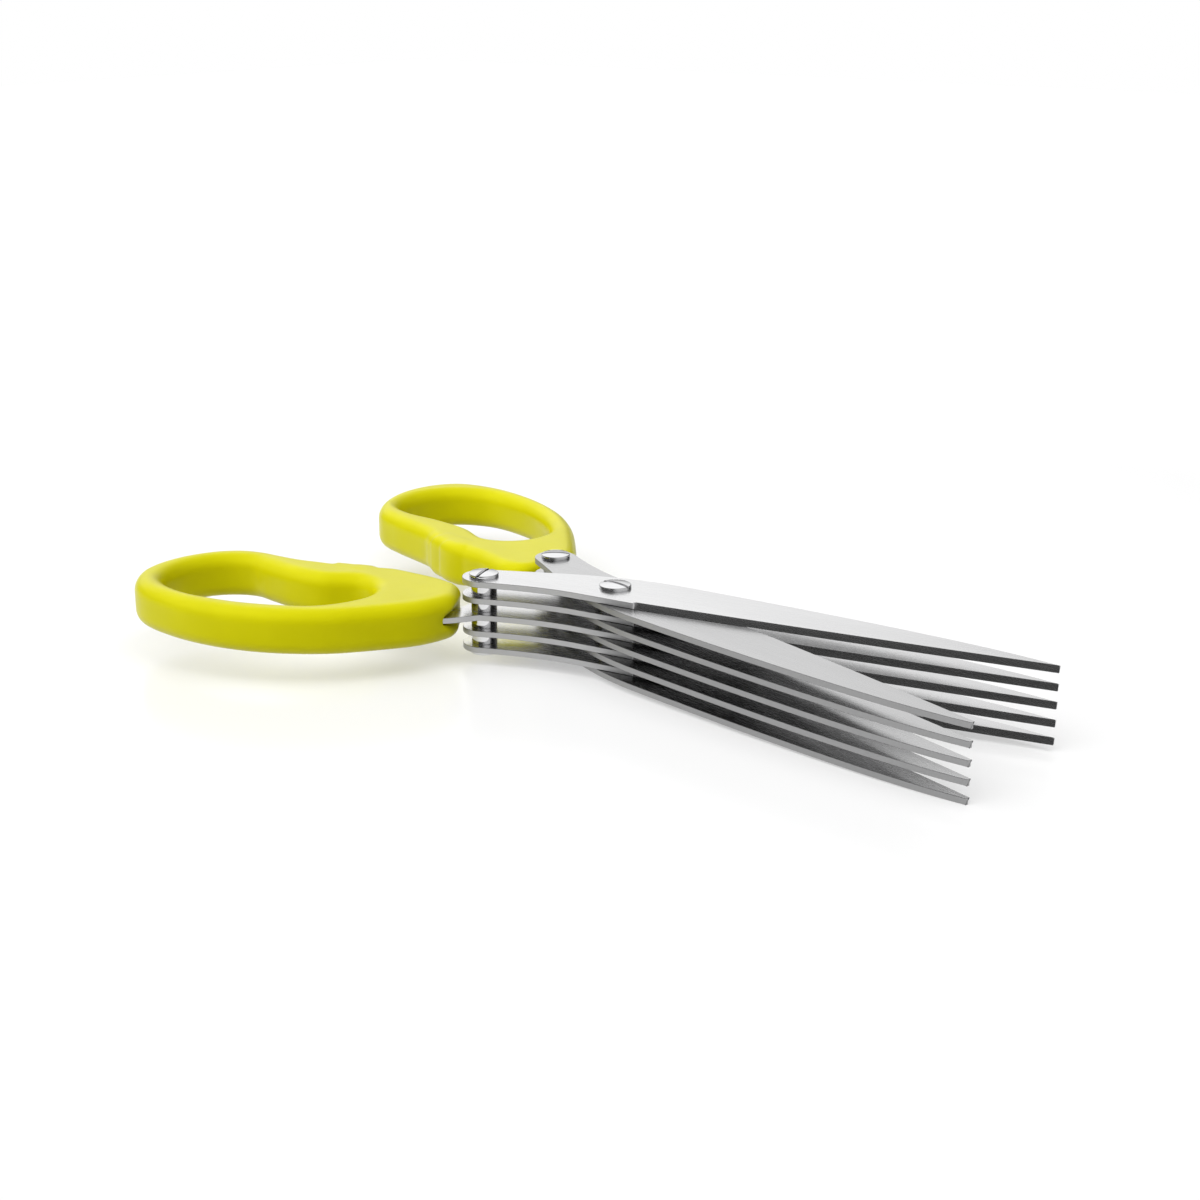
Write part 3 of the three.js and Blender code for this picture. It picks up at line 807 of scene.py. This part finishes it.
def plastic_material():
    """Lime moulded plastic: even colour with a faint cloud, satin skin and a fine spark texture."""
    material, n, shader = new_material("handle_lime")
    skin, wear = n.noise(SKIN), n.noise(WEAR)
    n.fill(shader, Base_Color=n.ramp(n.noise(CLOUD), LIME), IOR=1.5,
           Roughness=n.total(LIME_ROUGH, (wear, 0.14), (skin, 0.06)),
           Specular_Tint=(1.0, 0.96, 0.06, 1), Subsurface_Weight=0.3,
           Subsurface_Radius=(1.0, 0.95, 0.1), Subsurface_Scale=3 * MM,
           Normal=n.bump(skin, strength=0.12, depth=0.04))
    return material


def floor_material():
    """White studio sweep with a faint gloss. What the camera sees unshaded is white."""
    material, n, shader = new_material("floor_white")
    n.fill(shader, Base_Color=(0.6, 0.6, 0.6, 1), Roughness=0.2, IOR=1.3)
    away = n.add("ShaderNodeVectorMath", {"operation": "LENGTH"},
                 i0=n.add("ShaderNodeTexCoord").outputs["Object"]).outputs["Value"]
    path = n.add("ShaderNodeLightPath").outputs
    seen = n.math("MAXIMUM", path["Is Camera Ray"], path["Is Glossy Ray"])
    glow = n.add("ShaderNodeEmission", Color=n.ramp(away, FLOOR_GLOW), Strength=seen)
    both = n.add("ShaderNodeAddShader", i0=shader.outputs[0], i1=glow.outputs[0])
    out = next(x for x in n.nodes if x.type == "OUTPUT_MATERIAL")
    n.fill(out, Surface=both.outputs[0])
    return material


def make_floor():
    """The scissors rest on the pivot nut and on the points of the lowest blades."""
    slope = TIP_HEIGHT / TIP_REACH
    size = FLOOR_HALF
    corners = [(x, y, (x - NUT_EDGE_X * MM) * slope - FLOOR_GAP)
               for x, y in ((-size, -size), (size, -size), (size, size), (-size, size))]
    mesh = bpy.data.meshes.new("floor")
    mesh.from_pydata(corners, [], [(0, 1, 2, 3)])
    mesh.materials.append(floor_material())
    floor = link_object("floor", mesh)


def make_world():
    """The camera sees white. Gloss sees a studio that is bright behind the object, half bright
    beyond the points and dark elsewhere, and a soft fill from the front lights the rest.
    """
    world = bpy.data.worlds.new("studio")
    bpy.context.scene.world = world
    world.use_nodes = True
    n = Nodes(world.node_tree)
    for node in list(n.nodes):
        n.nodes.remove(node)
    way = n.add("ShaderNodeTexCoord").outputs["Generated"]
    behind = n.ramp(n.dot(way, BEHIND_WAY), BEHIND_RAMP)
    side = n.ramp(n.dot(way, SIDE_WAY), SIDE_RAMP)
    level = n.add("ShaderNodeVectorMath", {"operation": "MAXIMUM"}, i0=behind, i1=side).outputs[0]
    front = n.math("MAXIMUM", n.dot(way, FILL_WAY), 0.0)
    fill = n.math("MULTIPLY", n.math("POWER", front, FILL_POWER), FILL_LEVEL)
    ambient = n.add("ShaderNodeBackground", Color=WHITE, Strength=fill)
    mirrored = n.add("ShaderNodeBackground", Color=level, Strength=MIRRORED_LEVEL)
    white = n.add("ShaderNodeBackground", Color=WHITE, Strength=1.0)
    path = n.add("ShaderNodeLightPath").outputs
    mix = n.add("ShaderNodeMixShader", i0=path["Is Glossy Ray"], i1=ambient.outputs[0],
                i2=mirrored.outputs[0])
    mix = n.add("ShaderNodeMixShader", i0=path["Is Camera Ray"], i1=mix.outputs[0],
                i2=white.outputs[0])
    n.add("ShaderNodeOutputWorld", Surface=mix.outputs[0])


def make_lamp(name, place, size, power):
    """A soft lamp aimed at the pivot, which doesn't show in the gloss."""
    data = bpy.data.lights.new(name, "AREA")
    data.shape, data.size, data.size_y = "RECTANGLE", size[0], size[1]
    data.energy = power
    lamp = link_object(name, data)
    lamp.visible_glossy = False
    lamp.location = place
    lamp.rotation_euler = (-Vector(place)).to_track_quat("-Z", "Y").to_euler()


def make_camera():
    data = bpy.data.cameras.new("camera")
    data.sensor_width, data.lens = SENSOR, LENS
    data.clip_start, data.clip_end = 0.01, 20.0
    camera = link_object("camera", data)
    camera.location = CAMERA_PLACE
    camera.rotation_mode = "QUATERNION"
    camera.rotation_quaternion = Quaternion(CAMERA_TURN)
    bpy.context.scene.camera = camera


# Set B's blades take a lower level of the same steel as set A's: painted shade
steel = {"a": steel_material("blade_steel_a", -HALF_OPEN_DEG, STEEL_A),
         "b": steel_material("blade_steel_b_painted_darker", HALF_OPEN_DEG, STEEL_B_PAINTED_DARKER)}
plastic, chrome = plastic_material(), chrome_material()
for group in (SET_A, SET_B):
    for pair in range(1, PAIRS + 1):
        make_blade(group, pair, steel[group.letter])
    make_handle(group, plastic)
for group in (SET_A, SET_B):
    fasten_tangs(group, chrome)
fasten_pivot(chrome)

make_camera()
make_world()
make_floor()
for lamp in LAMPS:
    make_lamp(*lamp)

bpy.context.scene.view_settings.view_transform = "Standard"
